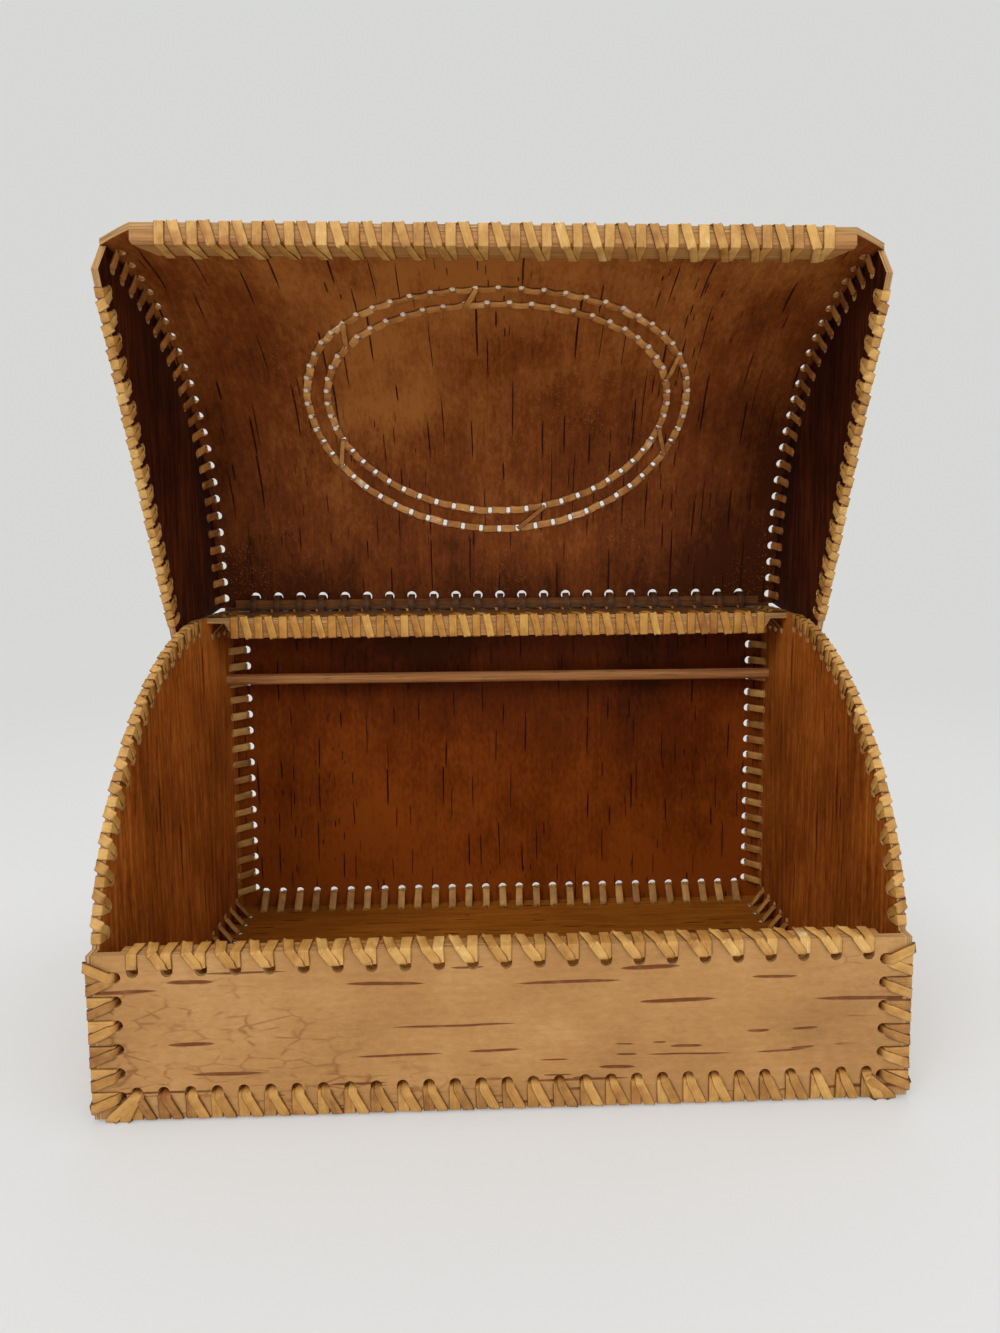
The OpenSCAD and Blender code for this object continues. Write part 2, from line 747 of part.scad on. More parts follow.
module lid_front_lacing() {
  inner = curve_slack + lath_t;
  color(bast) opened() lid_rim() {
    for (x = lid_x) translate([x, 0, 0])
      rim_loop(wall, inner, lid_lath_w, lid_lath_inset + curve_slack);
    for (i = [0:1:len(lid_x) - 2]) translate([lid_x[i], 0, 0])
      rim_slant(rim_pitch, wall + inner, lid_lath_inset + curve_slack, lid_lath_w);
  }
}

module lid_seam_lacing(side) {
  color(bast) opened() on_side(side) {
    for (s = lid_s) on_lid(s) translate([-lid_w / 2, 0, wall]) top_left_edge()
      corner_loop(wall, wall, cheek_inset, lid_inset);
    for (i = [0:1:len(lid_s) - 2]) on_lid(lid_s[i] + lid_pitch / 2)
      translate([-lid_w / 2, lid_pitch / 2, wall]) top_left_edge()
        corner_slant(lid_pitch, cheek_inset, lid_inset);
  }
}

module lid_left_seam_lacing() { lid_seam_lacing(-1); }
module lid_right_seam_lacing() { lid_seam_lacing(1); }

// The lacing along a cheek's free edge
module cheek_rim_lacing(side) {
  color(bast) opened() on_side(side) translate([-lid_w / 2, cheek_front_y, lid_edge_z])
    rotate([cheek_slope, 0, 0]) {
      for (s = cheek_s) translate([0, s, 0]) rotate([0, 0, -90]) plain_loop(wall, rim_inset);
      for (i = [1:1:len(cheek_s) - 1]) translate([0, cheek_s[i], 0]) rotate([0, 0, -90])
        rim_slant(lid_pitch, wall, rim_inset, rim_inset + hole_slack + lace_t);
    }
}

module lid_left_rim_lacing() { cheek_rim_lacing(-1); }
module lid_right_rim_lacing() { cheek_rim_lacing(1); }

// One stitch of the oval from the place p to the place q: through both holes,
// over the outside and back along the inside
module oval_stitch(p, q) {
  mid = (p + q) / 2;
  run = norm(q - p);
  start = 0.65 * lace_t;
  over = wall + curve_slack + oval_t + hole_slack / 4;
  on_lid(mid[1]) translate([mid[0], 0, 0]) rotate([0, 0, atan2(p[1] - q[1], q[0] - p[0])])
    translate([-run / 2, 0, 0]) rotate([90, 0, 0]) linear_extrude(oval_lace_w, center = true)
      polygon([[start, -strip_gap - lace_t], [run + lace_t / 2, -strip_gap - lace_t],
        [run + lace_t / 2, over + lace_t], [start, over + lace_t], [start, over],
        [run - lace_t / 2, over], [run - lace_t / 2, -strip_gap], [start, -strip_gap]]);
}

module oval_row(a, b, n) {
  color(bast) opened() for (i = [0:n - 1])
    oval_stitch(oval_at(a, b, n, i), oval_at(a, b, n, i + 1));
}

module oval_outer_lacing() { oval_row(oval_a, oval_b, oval_n); }
module oval_inner_lacing() {
  oval_row(oval_a - oval_band, oval_b - oval_band, oval_inner_n);
}

// ---------- The parts ----------

floor_outer();
floor_lining();
front_outer();
front_lining();
back_outer();
back_lining();
left_side_outer();
left_side_lining();
right_side_outer();
right_side_lining();
shelf_outer();
shelf_lining();
front_rim_lath();
shelf_lath();
cross_rod();
front_rim_lacing();
front_floor_lacing();
back_floor_lacing();
left_floor_lacing();
right_floor_lacing();
front_left_corner_lacing();
front_right_corner_lacing();
back_left_corner_lacing();
back_right_corner_lacing();
left_rim_lacing();
right_rim_lacing();
shelf_front_lacing();
shelf_left_lacing();
shelf_right_lacing();
hinge_lacing();
lid_outer();
lid_lining();
lid_left_cheek_outer();
lid_left_cheek_lining();
lid_right_cheek_outer();
lid_right_cheek_lining();
lid_front_lath();
lid_rear_strip();
lid_oval();
lid_front_lacing();
lid_left_seam_lacing();
lid_right_seam_lacing();
lid_left_rim_lacing();
lid_right_rim_lacing();
oval_outer_lacing();
oval_inner_lacing();
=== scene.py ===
# %% [markdown]
# # A birch bark box, dressed
# The box comes from the CAD model as bare sheets, laths and lacing. Here it gets
# what a maker's hands and the tree gave it: bark with its lenticels, split wood,
# and strips of bast that are sewn through every punched hole.
#
# The model is loaded first. Nothing in it is moved: each finish goes onto a piece
# where it stands, and the lacing is sewn again, strip by strip, in the same holes.
# For that the sizes of the CAD model are needed once more: those of the box and the
# lid, how far the holes are from each other, and how far they are from the edge.

# %% Load the box
import math
import random

import bmesh
import bpy
from mathutils import Matrix, Vector


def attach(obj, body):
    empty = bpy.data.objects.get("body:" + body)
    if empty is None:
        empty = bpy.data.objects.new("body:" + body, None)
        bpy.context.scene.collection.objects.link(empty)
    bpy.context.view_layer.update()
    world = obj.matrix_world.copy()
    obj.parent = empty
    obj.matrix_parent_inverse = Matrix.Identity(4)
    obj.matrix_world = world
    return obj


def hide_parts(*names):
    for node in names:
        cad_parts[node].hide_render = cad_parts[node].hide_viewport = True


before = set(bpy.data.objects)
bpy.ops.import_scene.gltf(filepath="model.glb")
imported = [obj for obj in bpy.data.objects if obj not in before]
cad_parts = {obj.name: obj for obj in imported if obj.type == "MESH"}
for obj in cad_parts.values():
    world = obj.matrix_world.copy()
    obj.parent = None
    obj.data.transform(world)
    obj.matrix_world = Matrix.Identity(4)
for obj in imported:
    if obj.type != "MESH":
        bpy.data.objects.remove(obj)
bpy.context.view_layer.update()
MM = 0.001
dice = random.Random(11)
print("pieces in the box:", len(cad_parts))

# %% Sizes of the CAD model, in millimetres
BOX_W, BOX_D, BOX_H, FRONT_H, SIDE_R = 350, 204, 200, 74, 150
WALL, FLOOR_T, EDGE_Z, CURVE_Y, CURVE_Z = 3.2, 1.6, 1.6, 154, 50
SEAM, RIM = 9.5, 5.6
FLOOR_PITCH, CORNER_PITCH, RIM_PITCH, CURVE_PITCH = 11.2, 10.6, 14.2, 11.4
LATH_T, RIM_LATH_H, SHELF_LATH_H, LATH_L = 6, 5, 8.4, 324
AXIS_Y, AXIS_Z, OPEN_BY = 199.5, 203.0, 82
LID_R, LID_W, LID_EDGE_Z, LID_BEVEL, LID_LATH_W = 155, 364.4, 78.2, 16, 14
print("the box is", BOX_W, "by", BOX_D, "by", BOX_H, "mm, its lid open by", OPEN_BY, "degrees")

# %% [markdown]
# ## The camera
# A photograph is taken from one place. Its place, its tilt and its focal length
# were worked out from points of the box that are easy to find in the picture. The
# picture is a crop, so the lens is shifted a little, as with a view camera.

# %% Camera
camera_place = Vector((-3.43, -438.8, 246.6)) * MM
yaw, pitch, roll = (math.radians(a) for a in (2.076, 5.542, -0.37))
picture = (1000, 1333)
focal_px = 831.4
middle_px = (524.8, 617.0)
FILM_MM = 36

forward = Vector((math.sin(yaw) * math.cos(pitch), math.cos(yaw) * math.cos(pitch),
                  -math.sin(pitch)))
level = Vector((math.cos(yaw), -math.sin(yaw), 0))
upright = level.cross(forward)
right = level * math.cos(roll) + upright * math.sin(roll)
up = upright * math.cos(roll) - level * math.sin(roll)

lens = bpy.data.cameras.new("photo_camera")
lens.sensor_width = FILM_MM
lens.lens = focal_px / picture[1] * lens.sensor_width
lens.shift_x = (picture[0] / 2 - middle_px[0]) / picture[1]
lens.shift_y = (middle_px[1] - picture[1] / 2) / picture[1]
lens.clip_start = 0.01
camera = bpy.data.objects.new("photo_camera", lens)
bpy.context.scene.collection.objects.link(camera)
camera.matrix_world = (Matrix.Translation(camera_place)
                       @ Matrix((right, up, -forward)).transposed().to_4x4())
bpy.context.scene.camera = camera
print("focal length", round(lens.lens, 1), "mm")

# %% [markdown]
# ## Expressions that write nodes
# A finish is a small program that runs at each point of a surface. Blender draws
# it as nodes, which soon grow into a tangle. Here one class stands for a value on
# its way through them, so that the usual signs, such as `1 - mask`, add the Math
# nodes by themselves, and one method adds any other node.

# %% A value that varies over a surface
class Field:
    def __init__(self, tree, socket):
        self.tree = tree
        self.socket = socket

    def node(self, kind, settings=None, sockets=None, out=0):
        made = self.tree.nodes.new("ShaderNode" + kind)
        for name, value in (settings or {}).items():
            if name == "stops":
                ramp = made.color_ramp.elements
                ramp.remove(ramp[1])
                ramp[0].position, ramp[0].color = value[0][0], (*value[0][1], 1)
                for place, colour in value[1:]:
                    ramp.new(place).color = (*colour, 1)
            else:
                setattr(made, name, value)
        for name, value in (sockets or {}).items():
            if isinstance(value, Field):
                self.tree.links.new(value.socket, made.inputs[name])
            else:
                made.inputs[name].default_value = value
        return Field(self.tree, made.outputs[out])

    def output(self, name):
        return Field(self.tree, self.socket.node.outputs[name])

    def maths(self, operation, *others, clamp=False):
        return self.node("Math", {"operation": operation, "use_clamp": clamp},
                         dict(enumerate((self, *others))))

    def __add__(self, other): return self.maths("ADD", other)
    def __radd__(self, other): return self.maths("ADD", other)
    def __mul__(self, other): return self.maths("MULTIPLY", other)
    def __rmul__(self, other): return self.maths("MULTIPLY", other)
    def __sub__(self, other): return self.maths("SUBTRACT", other)
    def __rsub__(self, other): return (self * -1) + other
    def __truediv__(self, other): return self.maths("DIVIDE", other)
    def __pow__(self, other): return self.maths("POWER", other)
    def size(self): return self.maths("ABSOLUTE")
    def clamp(self): return self.maths("ADD", 0.0, clamp=True)
    def fade(self, low, high): return ((self - low) / (high - low)).clamp()


print("a Field has", sum(callable(m) for m in vars(Field).values()), "methods")


# %% Noise, colours and a new finish
def vector(x, y, z=0.0):
    known = next(v for v in (x, y, z) if isinstance(v, Field))
    return known.node("CombineXYZ", sockets={"X": x, "Y": y, "Z": z})


def noise(place, detail=2.0, roughness=0.5):
    return place.node("TexNoise", sockets={
        "Vector": place, "Scale": 1.0, "Detail": detail, "Roughness": roughness})


def blend(mask, low, high):
    def colour(c):
        return c if isinstance(c, Field) else (*c, 1)
    return mask.node("Mix", {"data_type": "RGBA"},
                     {0: mask, 6: colour(low), 7: colour(high)}, out=2)


def srgb(red, green, blue):
    return tuple((c / 255 / 12.92) if c < 11 else ((c / 255 + 0.055) / 1.055) ** 2.4
                 for c in (red, green, blue))


THREE_STOPS, FIVE_STOPS = (0.15, 0.5, 0.85), (0.0, 0.16, 0.5, 0.86, 1.0)


class Finish:
    def __init__(self, name):
        self.material = bpy.data.materials.new(name)
        self.material.use_nodes = True
        tree = self.material.node_tree
        self.shader = tree.nodes["Principled BSDF"]
        self.pen = Field(tree, None)
        place = self.pen.node("TexCoord", out="Object")
        self.place, self.facing = place, place.output("Normal")

    def axes(self, of=None):
        split = self.pen.node("SeparateXYZ", sockets={0: of or self.place})
        return split, split.output("Y"), split.output("Z")

    def ramp(self, light, stops):
        return self.pen.node("ValToRGB", {"stops": list(stops)}, {0: light})

    def paint(self, colour, roughness, relief=None, depth=0.0003, shine=0.35):
        self.shader.inputs["Specular IOR Level"].default_value = shine
        link = self.material.node_tree.links.new
        link(colour.socket, self.shader.inputs["Base Color"])
        if isinstance(roughness, Field):
            link(roughness.socket, self.shader.inputs["Roughness"])
        else:
            self.shader.inputs["Roughness"].default_value = roughness
        if relief is not None:
            bump = self.pen.node("Bump", sockets={
                "Strength": 1.0, "Distance": depth, "Height": relief})
            link(bump.socket, self.shader.inputs["Normal"])
        print("finish:", self.material.name, len(self.material.node_tree.nodes), "nodes")
        return self.material


print("birch gold, as light:", [round(c, 3) for c in srgb(180, 131, 74)])

# %% [markdown]
# ## Birch bark
# Birch bark is marked by lenticels, the pores the tree breathes through: thin dark
# dashes that all run round the trunk. Between them the bark is streaked in the same
# direction. A Voronoi texture gives one random point per cell. A dash is drawn
# round each point, and each cell's colour decides how long and how thick it is, and
# whether it is there at all. Fine cracks and specks of crust come the same way.
# The cut edge of a sheet shows its layers, so where a face looks along the sheet
# it is painted with thin layers instead.

# %% Lenticels
def dashes(along, across, long, tall, thickness, share, seed):
    """1 on a dash and 0 beside it. One cell of long by tall holds one dash, and share
    of the cells have one."""
    cell = along.node("TexVoronoi", {"voronoi_dimensions": "2D"}, {
        "Vector": vector(along / long + seed, across / tall + seed), "Scale": 1.0}, out="Color")
    spot = along.node("SeparateXYZ", sockets={0: cell.output("Position")})
    luck = along.node("SeparateColor", sockets={0: cell})
    reach = luck * 0.36 + 0.12
    dx = (along / long + seed - spot).size() / reach
    dy = (across / tall + seed - spot.output("Y")).size()
    half = (1 - dx ** 4) * (luck.output("Green") * 0.7 + 0.65) * (thickness / tall / 2)
    sharp = tall / thickness * 5
    return ((half - dy) * sharp).clamp() * luck.output("Blue").maths("LESS_THAN", share)


ROW, SMALL_ROW = 0.0135, 0.0065
print("rows of dashes are", round(ROW / MM, 1), "and", round(SMALL_ROW / MM, 1), "mm apart")

# %% A bark finish
LAYERS = 4200
EDGE_TONES = ((0.3, srgb(96, 60, 32)), (0.5, srgb(186, 140, 84)), (0.72, srgb(224, 186, 132)))


def bark(name, directions, tones, dash_tone, seed, long=0.06, thickness=0.0012,
         share=0.45, small=0.5, streak=0.5, mottle=0.5, rough=0.6, shine=0.3,
         speckle=0.0, cracks=0.0, painted_shading=None):
    """directions takes a finish and gives four fields: the way along the dashes, the way
    across them, how squarely a face looks out of the sheet, and the depth in the sheet."""
    finish = Finish(name)
    along, across, square, deep = directions(finish)
    wander = noise(vector(along * 11, across * 26, seed), detail=3) - 0.5
    wavy = across + wander * 0.005
    patches = noise(vector(along * 13, across * 17, seed + 3.1), detail=4, roughness=0.6)
    cork = noise(vector(along * 210, across * 420, seed), detail=4, roughness=0.7)
    streaks = noise(vector(along * 26, wavy * 430, seed), detail=3, roughness=0.6)
    fine = noise(vector(along * 150, wavy * 2600, seed), detail=2)
    light = ((patches - 0.5) * (1.5 * mottle) + (cork - 0.5) * (0.7 * mottle)
             + (streaks - 0.5) * (0.9 * streak) + (fine - 0.5) * (0.4 * streak) + 0.5)
    # Painted light and shade: a given gradient makes parts of the sheet lighter or darker, as the
    # light falls on them.
    if painted_shading:
        light = light + painted_shading(along, across)
    colour = finish.ramp(light.clamp(), zip(THREE_STOPS, tones))
    marks = dashes(along, wavy, long, ROW, thickness, share, seed + 0.37)
    crowd = noise(vector(along * 9, across * 14, seed + 7.7), detail=1).fade(0.5, 0.62)
    marks = marks.maths("MAXIMUM", dashes(
        along, wavy, long * 0.3, SMALL_ROW, thickness * 0.7, small, seed + 5.7) * crowd)
    worn = noise(vector(along * 160, across * 400, seed), detail=2).fade(0.25, 0.55)
    colour = blend(marks * (0.7 + worn * 0.3), colour, dash_tone)
    if cracks:
        net = finish.pen.node("TexVoronoi", {"feature": "DISTANCE_TO_EDGE"}, {
            "Vector": vector(along * 70 + wander * 2.5, across * 170 + wander * 2.5, seed),
            "Scale": 1.0}, out="Distance")
        where = noise(vector(along * 7, across * 10, seed + 4.4), detail=2).fade(0.5, 0.62)
        broken = noise(vector(along * 90, across * 150, seed), detail=2).fade(0.46, 0.56)
        colour = blend((1 - net.fade(0.0, 0.08)) * where * broken * cracks, colour, dash_tone)
    if speckle:
        crust = noise(vector(along * 900, across * 1100, seed), detail=2).fade(0.6, 0.68)
        where = noise(vector(along * 22, across * 22, seed + 1.9), detail=3).fade(0.5, 0.66)
        colour = blend(crust * where * speckle, colour, tones[2])
    layers = noise(vector(along * 25, across * 25, deep * LAYERS), detail=2, roughness=0.6)
    cut = finish.ramp(layers, EDGE_TONES)
    face = square.fade(0.35, 0.6)
    colour = blend(face, cut, colour)
    relief = (cork * 0.35 + streaks * 0.3 + fine * 0.2 - marks * 0.9) * face + layers * (1 - face)
    return finish.paint(colour, (cork * 0.2 + (rough - 0.1)) + marks * 0.15, relief, 0.00035, shine)


print("a sheet's edge shows", len(EDGE_TONES), "tones of its layers")

# %% [markdown]
# ## Which way the bark runs
# Each skin is cut with its dashes level: along X on the front, along Y on the sides.
# The linings of the walls and the lid are cut the other way, with their dashes
# upright. The lid is bent, so there the second direction is measured round its
# curve, by angle and radius. Unwrapped pictures could do this too, but coordinates of
# the object need no unwrapping, and they go with a piece when the lid turns.

# %% Directions of the sheets
lid_open = math.radians(OPEN_BY)
lid_radius = LID_R * MM
hinge = Vector((0, AXIS_Y - BOX_D / 2, AXIS_Z)) * MM
closed_middle = Vector((0, CURVE_Y - BOX_D / 2, CURVE_Z)) * MM
lid_middle = hinge + Matrix.Rotation(-lid_open, 3, "X") @ (closed_middle - hinge)


def standing_across(finish):
    x, y, z = finish.axes()
    normal = finish.axes(finish.facing)
    return x, z, normal[1].size(), y


def standing_along(finish):
    x, y, z = finish.axes()
    normal = finish.axes(finish.facing)
    return y, z, normal[0].size(), x


def turned_round(directions):
    """The same sheet with its dashes running the other way, as on the linings."""
    def swapped(finish):
        along, across, square, deep = directions(finish)
        return across, along, square, deep
    return swapped


def lying(finish):
    x, y, z = finish.axes()
    normal = finish.axes(finish.facing)
    return x, y, normal[2].size(), z


def round_the_lid(finish):
    x, y, z = finish.axes()
    normal = finish.axes(finish.facing)
    y, z = y - lid_middle.y, z - lid_middle.z
    radius = (y * y + z * z).maths("SQRT")
    angle = z.maths("ARCTAN2", y)
    return x, angle * lid_radius, ((normal[1] * y + normal[2] * z) / radius).size(), radius


print("lid's middle", [round(c / MM, 1) for c in lid_middle])

# %% The bark finishes
golden = (srgb(154, 108, 58), srgb(180, 131, 74), srgb(202, 156, 98))
golden_dash = srgb(114, 57, 14)
dull_golden = (srgb(92, 58, 26), srgb(122, 80, 38), srgb(150, 104, 54))
red_brown = (srgb(76, 33, 8), srgb(124, 62, 21), srgb(166, 101, 45))
orange_brown = (srgb(70, 26, 1), srgb(108, 45, 4), srgb(144, 70, 14))
amber_brown = (srgb(106, 52, 14), srgb(156, 82, 26), srgb(198, 116, 42))
olive_brown = (srgb(112, 62, 14), srgb(154, 90, 24), srgb(190, 120, 40))
near_black = (srgb(32, 12, 5), srgb(62, 25, 10), srgb(100, 46, 20))
dark_dash = srgb(46, 15, 4)

front_bark = bark(
    "bark_front", standing_across, golden, golden_dash, 2.9, long=0.062, thickness=0.0016,
    share=0.85, small=0.5, streak=0.25, mottle=0.75, rough=0.5, cracks=0.65)
side_bark = bark(
    "bark_side", standing_along, golden, golden_dash, 4.1, long=0.075, thickness=0.0016,
    streak=0.25, mottle=0.75, rough=0.5, cracks=0.4)
flat_bark = bark(
    "bark_flat", lying, golden, golden_dash, 7.7, streak=0.25, mottle=0.7, rough=0.5)
shelf_bark = bark(
    "bark_shelf", lying, dull_golden, golden_dash, 2.7, streak=0.6, rough=0.5)
lid_bark = bark(
    "bark_lid", round_the_lid, golden, golden_dash, 9.2, long=0.08, thickness=0.0016,
    streak=0.25, mottle=0.75, rough=0.5, cracks=0.4)

# %% The inside finishes
DULL = 0.08


def back_painted_shading(along, across):
    """Painted light and shade: the lower part and both ends of the back are painted lighter
    than its middle, as they are lit more.
    """
    return (0.1 - along) * 3.6 + across * across * 9


def lid_painted_shading(along, across):
    """Painted light and shade: the lid's lining is painted lightest in its middle and
    towards its free edge, and darker towards its sides.
    """
    return (along * 1.4 - (0.1 - along).maths("MAXIMUM", 0) * 2.2 - across * across * 12
            - across * 0.5 + 0.05)


back_inside = bark(
    "inside_back", turned_round(standing_across), orange_brown, dark_dash, 2.2, long=0.036,
    thickness=0.0009, shine=DULL, share=0.75, small=0.35, streak=0.3, mottle=0.9,
    painted_shading=back_painted_shading)
side_inside = bark(
    "inside_side", turned_round(standing_along), amber_brown, dark_dash, 5.2, shine=DULL,
    share=0.12, small=0.2, streak=1.2, mottle=0.8, speckle=0.5)
floor_inside = bark(
    "inside_floor", lying, olive_brown, dark_dash, 3.6, shine=DULL, share=0.2, small=0.3,
    streak=0.8, mottle=0.35)
lid_inside = bark(
    "inside_lid", turned_round(round_the_lid), red_brown, dark_dash, 6.4, long=0.05,
    thickness=0.001, shine=DULL, share=0.8, small=0.4, streak=0.3, mottle=0.9,
    speckle=0.6, painted_shading=lid_painted_shading)
cheek_inside = bark(
    "inside_cheek", turned_round(standing_along), near_black, dark_dash, 8.3, shine=DULL,
    share=0.1, streak=1.3, mottle=0.6, speckle=0.25)

# %% [markdown]
# ## Split wood
# The laths are split along the grain and left raw: pale, with fine darker lines from
# end to end. The cross rod is a peeled stick, browner, with shreds of its bark left on.
# A sawn board would need year rings that are cut at a slant. Split wood shows only its
# fibres, so noise that is drawn out far along the piece is enough.

# %% Wood finishes
def wood(name, tones, seed, lines=1.0, shreds=0.0):
    finish = Finish(name)
    x, y, z = finish.axes()
    bend = noise(vector(x * 6, y * 30, z * 30 + seed), detail=2) * 0.004
    grain = noise(vector(x * 14 + seed, (y + bend) * 700, (z + bend) * 700),
                  detail=3, roughness=0.6)
    fibre = noise(vector(x * 60, y * 2400, z * 2400), detail=2)
    broad = noise(vector(x * 9 + seed, y * 60, z * 60), detail=2)
    light = ((grain - 0.5) * lines + (fibre - 0.5) * 0.3 + (broad - 0.5) * 0.5 + 0.5).clamp()
    colour = finish.ramp(light, zip(THREE_STOPS, tones))
    if shreds:
        left = noise(vector(x * 50 + seed, y * 400, z * 400), detail=3).fade(0.6, 0.68)
        colour = blend(left * shreds, colour, srgb(70, 40, 24))
    return finish.paint(colour, grain * 0.2 + 0.5, grain * 0.6 + fibre * 0.4, 0.0003)


lath_wood = wood(
    "split_lath", (srgb(126, 79, 35), srgb(174, 122, 64), srgb(202, 156, 96)), 2.0)
strip_wood = wood(
    "lid_strip", (srgb(84, 46, 16), srgb(122, 72, 28), srgb(156, 102, 50)), 6.0)
rod_wood = wood(
    "cross_rod", (srgb(126, 76, 38), srgb(182, 122, 68), srgb(222, 166, 104)), 4.0,
    shreds=0.35)

# %% [markdown]
# ## Bast
# The lacing is inner bark in narrow strips, golden when dry, with fibres from end to
# end and some rust-red stains. Each strip carries its own measure: how far along it a
# point lies, how far across, and one number that makes it lighter or darker than the
# next. The finish reads those, so the fibres follow every bend.

# %% Bast finish
# The grimy tone also serves as painted shade on the hinge's loops and strand; the fresh tone as a
# painted highlight in the oval's holes.
GRIME_AND_SHADE, FRESH_AND_GLINT = srgb(84, 48, 20), srgb(250, 234, 210)


def bast(name, tones, stain=0.5):
    """tones run from dark to light; a worn, grimy tone lies below them, also used as painted
    shade, and above them the pale one of a strip's fresh side, also used as a painted highlight."""
    finish = Finish(name)
    run = finish.pen.node("Attribute", {"attribute_name": "run"}, out="Vector")
    along, across, luck = finish.axes(run)
    place = finish.axes()
    fibre = noise(vector(along * 60, across * 6 + luck * 40, luck * 90), detail=3, roughness=0.65)
    fine = noise(vector(along * 240, across * 26 + luck * 40, luck * 50), detail=2)
    mottle = noise(vector(place[0] * 170, place[1] * 170, place[2] * 170), detail=3)
    edge = across.size().fade(0.82, 1.0)
    light = ((luck - 0.5) * 0.36 + (fibre - 0.5) * 0.5 + (fine - 0.5) * 0.25
             + (mottle - 0.5) * 0.6 + 0.58 - edge * 0.5).clamp()
    colour = finish.ramp(light, zip(FIVE_STOPS, (GRIME_AND_SHADE, *tones, FRESH_AND_GLINT)))
    rust = noise(vector(place[0] * 60, place[1] * 60, place[2] * 60), detail=3).fade(0.6, 0.72)
    colour = blend(rust * stain, colour, srgb(146, 76, 26))
    return finish.paint(colour, fibre * 0.25 + 0.36, fibre * 0.6 + fine * 0.4, 0.00025)


golden_bast = bast("bast_lacing", (srgb(136, 86, 34), srgb(190, 137, 66), srgb(224, 178, 102)))
shelf_bast = bast("bast_shelf", (srgb(134, 80, 22), srgb(192, 131, 50), srgb(224, 172, 84)))
# The dark bast sews the oval and the lid's side seams; on the seams its darkness is partly painted
# shade.
dark_bast = bast(
    "bast_oval", (srgb(112, 62, 20), srgb(176, 112, 48), srgb(216, 156, 84)), stain=0.4)

# %% Give each CAD piece its finish
finishes = {
    "floor_outer": flat_bark, "floor_lining": floor_inside, "front_outer": front_bark,
    "front_lining": back_inside, "back_outer": front_bark, "back_lining": back_inside,
    "left_side_outer": side_bark, "right_side_outer": side_bark,
    "left_side_lining": side_inside, "right_side_lining": side_inside,
    "shelf_outer": shelf_bark, "shelf_lining": floor_inside,
    "front_rim_lath": lath_wood, "shelf_lath": lath_wood, "cross_rod": rod_wood,
    "lid_outer": lid_bark, "lid_lining": lid_inside, "lid_oval": lid_bark,
    "lid_left_cheek_outer": side_bark, "lid_right_cheek_outer": side_bark,
    "lid_left_cheek_lining": cheek_inside, "lid_right_cheek_lining": cheek_inside,
    "lid_front_lath": lath_wood, "lid_rear_strip": strip_wood,
}
for name, finish in finishes.items():
    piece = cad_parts[name]
    piece.data.materials.clear()
    piece.data.materials.append(finish)
print("finished sheets and laths:", len(finishes))

# %% [markdown]
# ## Sewing a strip
# A strip of bast is a flat ribbon with crisp edges, and never quite straight.
# It is made as a section that is carried along a path: each point of the path gets a
# ring of vertices, turned so that its width stays across the strip. The corners of
# the path are rounded first, because bast springs and never folds sharp.

# %% One strip
SECTION = [(-1, -0.3), (-1, 0.3), (-0.9, 0.5), (0, 0.6), (0.9, 0.5), (1, 0.3),
           (1, -0.3), (0.9, -0.5), (-0.9, -0.5)]
BEND, REACH = 0.8, 0.45


def rounded(path, closed):
    """The path with each corner replaced by three points of a small bend."""
    soft = []
    for i, point in enumerate(path):
        if not closed and i in (0, len(path) - 1):
            soft.append(point)
            continue
        before, after = path[i - 1] - point, path[(i + 1) % len(path)] - point
        a = point + before.normalized() * min(BEND, before.length * REACH)
        b = point + after.normalized() * min(BEND, after.length * REACH)
        soft += [a, (a + b) / 4 + point / 2, b]
    return soft


def strip(mesh, run, path, width_way, width, thick, closed, shade):
    """An open strip is narrower at both ends, where it is drawn into its holes."""
    path = rounded(path, closed)
    # luck is random, less the strip's shade; on the hinge the shade paints the strips dark as
    # painted shade, in the oval's holes pale as painted highlights.
    luck, far, rings = dice.random() - shade, 0.0, []
    count = len(path)
    for i, point in enumerate(path):
        last = path[i - 1] if (i or closed) else point
        next_one = path[(i + 1) % count] if (closed or i < count - 1) else point
        way = (next_one - last).normalized()
        wide = (width_way - way * width_way.dot(way)).normalized()
        out = way.cross(wide)
        far += (point - path[i - 1]).length if i else 0.0
        grow = 1 + 0.04 * math.sin(far * 0.9 + luck * 9)
        if not closed:
            grow *= 1.04 - 0.3 * abs(2 * i / (count - 1) - 1) ** 2
        ring = []
        for across, lift in SECTION:
            spot = point + wide * (across * width / 2 * grow) + out * (lift * thick)
            vert = mesh.verts.new(spot * MM)
            vert[run] = (far * MM, across, luck)
            ring.append(vert)
        rings.append(ring)
    sides = len(SECTION)
    for i in range(count if closed else count - 1):
        one, other = rings[i], rings[(i + 1) % count]
        for j in range(sides):
            mesh.faces.new((one[j], one[(j + 1) % sides], other[(j + 1) % sides], other[j]))
    if not closed:
        mesh.faces.new(rings[0])
        mesh.faces.new(rings[-1])


print("a strip's section has", len(SECTION), "corners")

# %% [markdown]
# ## The stitches
# Every seam is sewn in the same way as in the CAD model. Each hole has one strip that
# goes straight round the edge, and from each hole a second strip slants over the edge
# to the next one, so that the seam shows a row of Vs. A stitch is drawn
# at the origin: the seam runs along X, sheet A rises in Z at y = 0, and sheet B runs
# back in Y at z = 0. A matrix then takes it to its place.

# %% Paths of the stitches
LACE_W, SLANT_W, LACE_T, SLACK = 4.9, 4.5, 0.7, 0.2


def jitter(amount):
    return (dice.random() - 0.5) * 2 * amount


